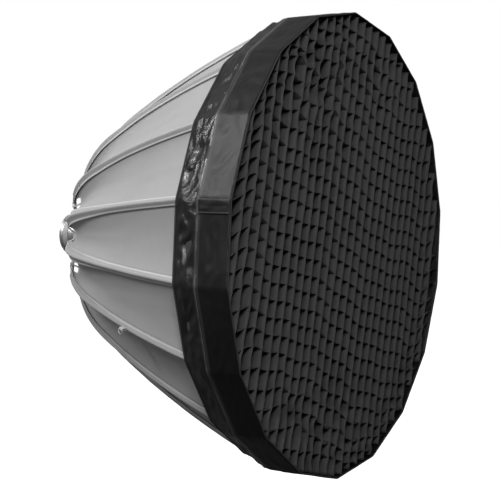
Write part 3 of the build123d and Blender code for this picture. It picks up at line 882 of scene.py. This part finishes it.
@dataclass
class Crate:
    """The cloth egg crate: strips both ways that sag, lean and crumple together.

    Attributes:
        cell: Pitch of the strips.
        count: Strips each side of the middle one.
        rear: Depth of the rear edge.
        front: Depth of the front edge.
        radius: Corner radius that the strips reach.
        turn: How far the crate is turned clockwise, seen from the front.
        setback: How far the rows' front edges stand behind the uprights'.
        steps: Grid steps to a cell.
    """

    cell: float = 0.0416
    count: int = 13
    rear: float = 0.827
    front: float = 0.8745
    radius: float = 0.5945
    turn: float = radians(12.0)
    setback: float = 0.0035
    steps: int = 5

    def reach(self, offset: float, upright: bool) -> tuple[float, float]:
        """Returns how far a strip at an offset runs each way inside the mouth.

        Args:
            offset: Strip's place across.
            upright: True for an upright, False for a row.

        Returns:
            The two values in that order.
        """
        low, high = -self.radius, self.radius
        for side in range(SIDES):
            angle = CLOCKING + (side + 0.5) * STEP - self.turn
            across, along = (sin(angle), cos(angle)) if upright else (cos(angle), sin(angle))
            if abs(along) > 1e-9:
                limit = (self.radius * HALF - offset * across) / along
                low, high = (low, min(high, limit)) if along > 0 else (max(low, limit), high)
        return low, high

    def loose(self, p: float, q: float) -> float:
        """Returns how crumpled the crate is at a place, from 0 to 1.

        Args:
            p: Place across the mouth.
            q: Place up the mouth.

        Returns:
            The value.
        """
        corner = exp(-(((p + 0.28) / 0.22) ** 2 + ((q - 0.36) / 0.20) ** 2))
        top = 0.8 * exp(-(((p - 0.10) / 0.30) ** 2 + ((q - 0.50) / 0.12) ** 2))
        foot = 0.8 * exp(-(((p + 0.05) / 0.42) ** 2 + ((q + 0.50) / 0.14) ** 2))
        edge = 0.55 * ease(0.42, 0.58, sqrt(p * p + q * q))
        return clamp(max(corner, top, foot, edge) + 0.03)

    def drift(self, p: float, q: float) -> tuple[float, float]:
        """Returns how far a crossing has moved across and up.

        Args:
            p: Place across the mouth.
            q: Place up the mouth.

        Returns:
            The two values in that order.
        """
        hold = 1 - ease(0.50, 0.59, sqrt(p * p + q * q) / 0.998)
        sway = 0.010 * ripple(p * 3.1, q * 2.3, 0.4)
        sag = -0.07 * p - 0.008 * sin((p - 0.02) * 12.0) + 0.0035 * sin(p * 37.0 + q * 3.0)
        sag += 0.008 * ripple(p * 4.5, q * 3.5, 5.2)
        rough = self.loose(p, q)
        sway += 0.018 * rough * ripple(p * 17, q * 17, 2.2)
        sag += 0.020 * rough * ripple(p * 17, q * 17, 8.9)
        return sway * hold, sag * hold

    def strip(self, offset: float, upright: bool, name: str) -> Cloth:
        """Describes one strip of the crate.

        Args:
            offset: Strip's place across.
            upright: True for an upright, False for a row.
            name: Name of the object.

        Returns:
            The cloth.
        """
        low, high = self.reach(offset, upright)
        cells = max(1, round((high - low) / self.cell))

        def place(across: float, along: float) -> Vector:
            """Places one corner of the strip.

            Args:
                across: Share across the cloth.
                along: Share along the cloth.

            Returns:
                The point.
            """
            run = low + (high - low) * along
            p, q = (offset, run) if upright else (run, offset)
            sway, sag = self.drift(p, q)
            rough = self.loose(p, q)
            spot = floor(run / self.cell)
            share = run / self.cell - spot
            bow = sin(pi * share) * (0.4 + 0.6 * across)
            bulge = 0.0008 + 0.0070 * rough
            seed = 3.3 if upright else 7.7
            lump = bow * bulge * ripple(spot * 0.73 + 0.31, offset * 37.0 + 0.17, seed) * 2.0
            kink = 0.006 * rough * (across - 0.4) * ripple(run * 45, offset * 45, 4.4)
            lean = (across - 0.5) * (0.004 + 0.014 * rough) * ripple(p * 8, q * 8, 6.1 if upright else 1.1)
            if upright:
                p += lump + kink + lean
            else:
                q += lump + kink + lean
            p, q = p + sway * (0.55 + 0.45 * across), q + sag * (0.55 + 0.45 * across)
            depth = self.rear + (self.front - self.rear) * across - 0.003 * rough * bow * across
            depth -= 0.0 if upright else self.setback * across
            turned = (p * cos(self.turn) + q * sin(self.turn), q * cos(self.turn) - p * sin(self.turn))
            return Vector((depth, *turned))

        return Cloth(name, 4, cells * self.steps, (self.front - self.rear, high - low), place, 0.0007, CRATE)

    def build(self) -> None:
        """Builds both sets of strips as one piece each."""
        for upright, name, node in (
            (True, "crate_uprights", "crate_vertical_strips"),
            (False, "crate_rows", "crate_horizontal_strips"),
        ):
            offsets = [self.cell * i for i in range(-self.count, self.count + 1)]
            strips = [self.strip(offset, upright, name) for offset in offsets]
            piece = strips[0].build(strips[1:])
            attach(piece, "grid")
            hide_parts(node)


@dataclass
class RingTab:
    """The folded webbing that holds the ring on a lower rib."""

    rib: int = 12
    depth: float = 0.462
    width: float = 0.016
    line: RibLine = field(default_factory=RibLine)

    def build(self) -> None:
        """Builds the webbing loop from the rib out and round the ring's straight bar."""
        centre = CLOCKING + self.rib * STEP
        x, r, lean = self.line.at(self.line.distance_at(self.depth))
        along = Vector((cos(lean), sin(lean) * sin(centre), sin(lean) * cos(centre)))
        out = Vector((-sin(lean), cos(lean) * sin(centre), cos(lean) * cos(centre)))
        side = out.cross(along)
        root = around(x, r, centre)

        def place(across: float, share: float) -> Vector:
            """Places one corner of the webbing, out along one side and back along the other.

            Args:
                across: Share across the cloth.
                share: Share from 0 to 1.

            Returns:
                The point.
            """
            swing = ease(0.32, 0.68, share)
            reach = 0.005 + 0.0118 * (1 - abs(share - 0.5) * 2) ** 0.55
            spread = 0.0024 * (1 - 2 * swing) * (0.8 + 0.4 * (1 - abs(share - 0.5) * 2))
            return root + along * (across - 0.5) * self.width + out * reach + side * spread

        def trim(across: float, share: float) -> float:
            """Marks the thread across the webbing's foot."""
            return 1.0 if 0.14 < share < 0.2 or 0.8 < share < 0.86 else 0.0

        tab = Cloth("ring_webbing", 10, 36, (self.width, 0.04), place, 0.0012, ELASTIC, None, trim).build()
        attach(tab, "rib_13")
        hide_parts("ring_tab")
        LOG.info("%s replaces ring_tab", tab.name)


@dataclass
class Hardware:
    """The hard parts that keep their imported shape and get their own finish."""

    finishes: dict[str, Finish] = field(default_factory=lambda: {
        "hub_barrel": BARREL,
        "barrel_liner": RUBBER,
        "hub_ring": HUB_PAINT,
        "hub_retaining_ring": HUB_PAINT,
        "hinge_pins": STEEL,
        "rib_stop_pads": RUBBER,
        "rib_lock_springs": STEEL,
        "hub_screws": STEEL,
        "clamp_band": STEEL,
        "clamp_fasteners": STEEL,
        "clamp_lever": FITTING,
        "d_ring": STEEL,
    })

    def dress(self) -> None:
        """Gives every hard node its finish."""
        chosen = dict(self.finishes)
        for number in range(1, SIDES + 1):
            chosen[f"rib_{number:02d}"] = RIB_PAINT
            chosen[f"rib_foot_{number:02d}"] = FITTING
        for name, finish in chosen.items():
            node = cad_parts[name]
            node.data.materials.clear()
            node.data.materials.append(finish.build())
            LOG.info("%s: %s", name, finish.name)


@dataclass
class Studio:
    """The floor, light and camera.

    Attributes:
        camera_at: Camera position.
        right: Camera's right.
        up: Camera's up.
        back: Direction from the object to the camera.
        lens: Focal length in millimetres on a 36 mm sensor.
    """

    camera_at: tuple[float, float, float] = (2.749, -3.739, 0.173)
    right: tuple[float, float, float] = (0.8651, 0.5012, 0.0213)
    up: tuple[float, float, float] = (-0.0409, 0.0283, 0.9988)
    back: tuple[float, float, float] = (0.4999, -0.8649, 0.0450)
    lens: float = 117.0

    def camera(self) -> None:
        """Makes the camera."""
        data = bpy.data.cameras.new("camera")
        data.lens, data.sensor_width, data.clip_end = self.lens, 36.0, 200.0
        made = bpy.data.objects.new("camera", data)
        turn = Matrix((self.right, self.up, self.back)).transposed().to_4x4()
        made.matrix_world = Matrix.Translation(self.camera_at) @ turn
        bpy.context.scene.collection.objects.link(made)
        bpy.context.scene.camera = made

    def light(
        self,
        name: str,
        at: tuple[float, float, float],
        size: tuple[float, float],
        power: float,
        glossy: bool = True,
    ) -> None:
        """Makes one soft light aimed at the object's middle.

        Args:
            name: Name of the object.
            at: Position.
            size: Width and height.
            power: Power in watts.
            glossy: True where reflections show it.
        """
        data = bpy.data.lights.new(name, "AREA")
        data.shape, data.size, data.size_y, data.energy = "RECTANGLE", size[0], size[1], power
        made = bpy.data.objects.new(name, data)
        aim = (Vector(at) - Vector((0.5, 0.0, 0.0))).to_track_quat("Z", "Y")
        made.matrix_world = Matrix.Translation(at) @ aim.to_matrix().to_4x4()
        made.visible_glossy = glossy
        bpy.context.scene.collection.objects.link(made)

    def floor(self) -> None:
        """Makes the pale floor with its backdrop."""
        mesh = bmesh.new()
        bmesh.ops.create_grid(mesh, x_segments=1, y_segments=1, size=30.0)
        bmesh.ops.translate(mesh, verts=mesh.verts, vec=(0.0, 0.0, FLOOR_HEIGHT))
        data = bpy.data.meshes.new("floor")
        mesh.to_mesh(data)
        mesh.free()
        made = bpy.data.objects.new("floor", data)
        bpy.context.scene.collection.objects.link(made)
        paint = bpy.data.materials.new("floor_paint")
        paint.use_nodes = True
        shader = paint.node_tree.nodes["Principled BSDF"]
        shader.inputs["Base Color"].default_value = (0.9, 0.9, 0.9, 1.0)
        shader.inputs["Roughness"].default_value = 0.9
        shader.inputs["Emission Color"].default_value = (1.0, 1.0, 1.0, 1.0)
        shader.inputs["Emission Strength"].default_value = 0.85
        data.materials.append(paint)
        made.visible_diffuse = made.visible_glossy = made.visible_shadow = False

    def world(self) -> None:
        """Makes the white surround, bright behind the object and softer on it."""
        world = bpy.data.worlds.new("surround")
        bpy.context.scene.world = world
        world.use_nodes = True
        nodes, links = world.node_tree.nodes, world.node_tree.links
        base = nodes["Background"]
        base.inputs["Color"].default_value = (1.0, 1.0, 1.0, 1.0)
        path = nodes.new("ShaderNodeLightPath")
        level = nodes.new("ShaderNodeMapRange")
        level.inputs["To Max"].default_value = 1.0
        links.new(path.outputs["Is Camera Ray"], level.inputs["Value"])
        links.new(level.outputs["Result"], base.inputs["Strength"])
        place = nodes.new("ShaderNodeTexCoord")
        split = nodes.new("ShaderNodeSeparateXYZ")
        links.new(place.outputs["Generated"], split.inputs["Vector"])
        sky = nodes.new("ShaderNodeMapRange")
        for name, value in (("From Min", -0.4), ("From Max", 0.8), ("To Min", 0.05), ("To Max", 0.30)):
            sky.inputs[name].default_value = value
        links.new(split.outputs["Z"], sky.inputs["Value"])
        links.new(sky.outputs["Result"], level.inputs["To Min"])

    def build(self) -> None:
        """Sets the whole studio."""
        self.camera()
        self.floor()
        self.world()
        self.light("overhead", (0.1, -1.0, 3.4), (1.4, 1.4), 110.0, glossy=False)
        self.light("camera_side", (2.9, -4.0, 2.1), (1.0, 1.0), 220.0)
        self.light("upper_left", (-1.5, -2.6, 2.4), (0.9, 0.9), 95.0)
        self.light("low_left", (-3.4, -1.3, -1.0), (1.6, 1.2), 45.0, glossy=False)
        bpy.context.scene.view_settings.view_transform = "Standard"


def main() -> None:
    """Builds the studio and every piece."""
    logging.basicConfig(level=logging.INFO, format="%(name)s: %(message)s")
    Studio().build()
    Hardware().dress()
    ReflectorCloth().build()
    Skirt().build()
    Crate().build()
    RingTab().build()


if __name__ == "__main__":
    main()
